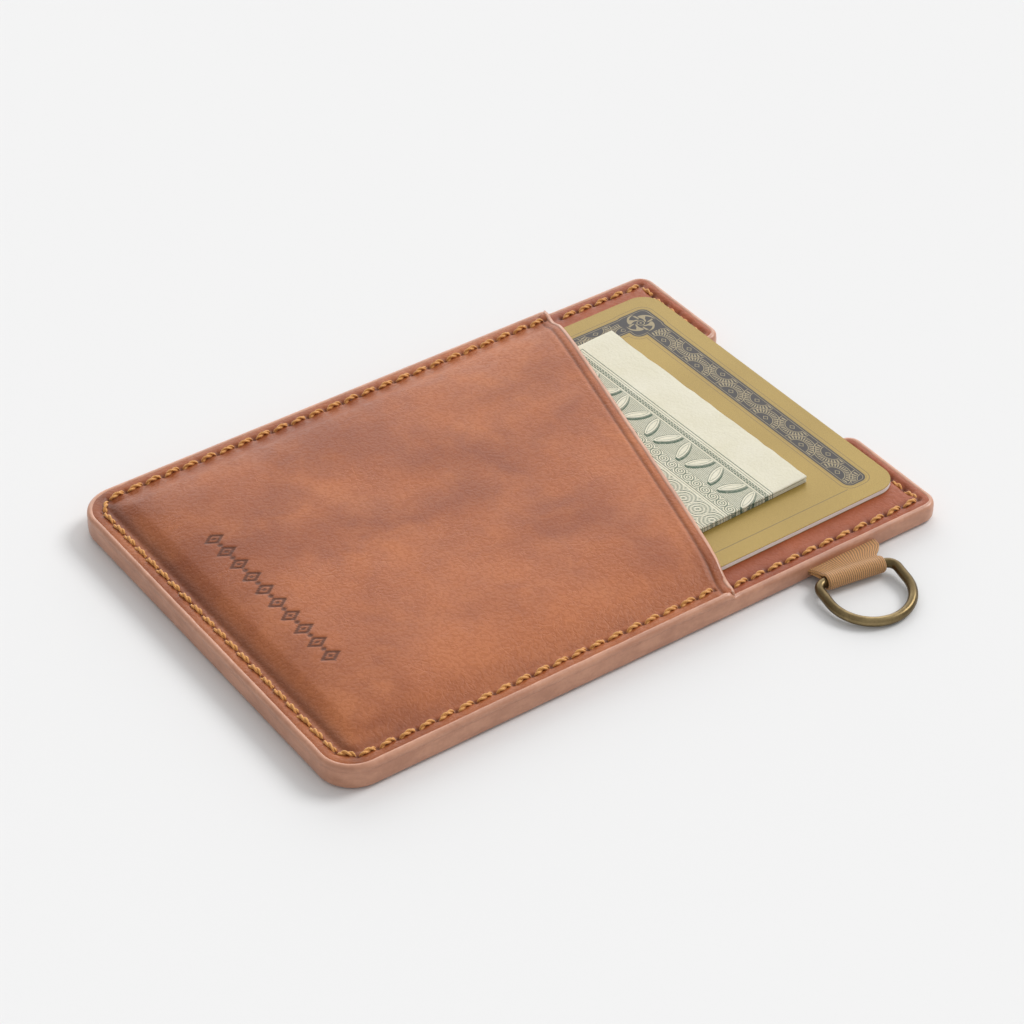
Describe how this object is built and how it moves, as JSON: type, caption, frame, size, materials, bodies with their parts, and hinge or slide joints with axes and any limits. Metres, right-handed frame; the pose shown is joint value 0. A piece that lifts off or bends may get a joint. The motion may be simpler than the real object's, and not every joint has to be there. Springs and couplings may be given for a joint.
{
  "type": "minimalist wallet",
  "caption": "Slim sewn leather card sleeve with a slanted pocket mouth, thumb notch, webbing tab with a D-ring, a sliding payment card and a folded banknote.",
  "frame": {"origin": "centre of the flat back face, which lies on the table", "axes": "+Z out of the front of the pocket, +Y towards the open end with the thumb notch, +X towards the long side with the ring"},
  "size_m": [0.0777, 0.0926, 0.0055],
  "materials": {
    "leather_body": "satin cognac",
    "board": "fibreboard stiffener, matte",
    "leather_divider": "satin red cognac",
    "leather_front": "satin cognac",
    "edge_paint": "semi-gloss edge paint",
    "thread": "waxed thread",
    "webbing": "ribbed grosgrain",
    "ring_brass": "antiqued, satin",
    "card_plastic": "white core",
    "card_print": "printed gold laminate",
    "card_reverse": "printed laminate",
    "chip_contacts": "gold plated contacts",
    "stripe": "magnetic stripe",
    "signature": "writable strip",
    "note_paper": "cotton rag paper, printed"
  },
  "bodies": {
    "wallet": {"back_panel": "leather_body", "core_board": "board", "divider_panel": "leather_divider", "front_panel": "leather_front", "edge_paint_body": "edge_paint", "edge_paint_front": "edge_paint", "edge_paint_mouth": "edge_paint", "seam_thread_front": "thread", "seam_thread_divider": "thread", "seam_thread_back": "thread"},
    "tab": {"tab_webbing": "webbing"},
    "ring": {"d_ring": "ring_brass"},
    "card": {"card_core": "card_plastic", "card_face": "card_print", "card_back_print": "card_reverse", "card_chip": "chip_contacts", "card_stripe": "stripe", "card_signature_strip": "signature"},
    "note": {"banknote": "note_paper"}
  },
  "joints": [
    {"name": "tab_flex", "type": "hinge", "parent": "wallet", "child": "tab", "pos_m": [0.03225, 0.0294, 0.0014], "axis": [0, -1, 0], "range_deg": [-30, 30], "stiffness_Nm_per_rad": 0.003, "deforming": ["tab_webbing"]},
    {"name": "ring_swing", "type": "hinge", "parent": "tab", "child": "ring", "pos_m": [0.03576, 0.02884, 0.0014], "axis": [-0.1564, -0.9877, 0], "range_deg": [-110, 110]},
    {"name": "card_slide", "type": "slide", "parent": "wallet", "child": "card", "axis": [-0.0145, 0.9999, 0], "range_m": [0, 0.088]},
    {"name": "note_slide", "type": "slide", "parent": "wallet", "child": "note", "axis": [-0.0311, 0.9995, 0], "range_m": [0, 0.07]}
  ]
}
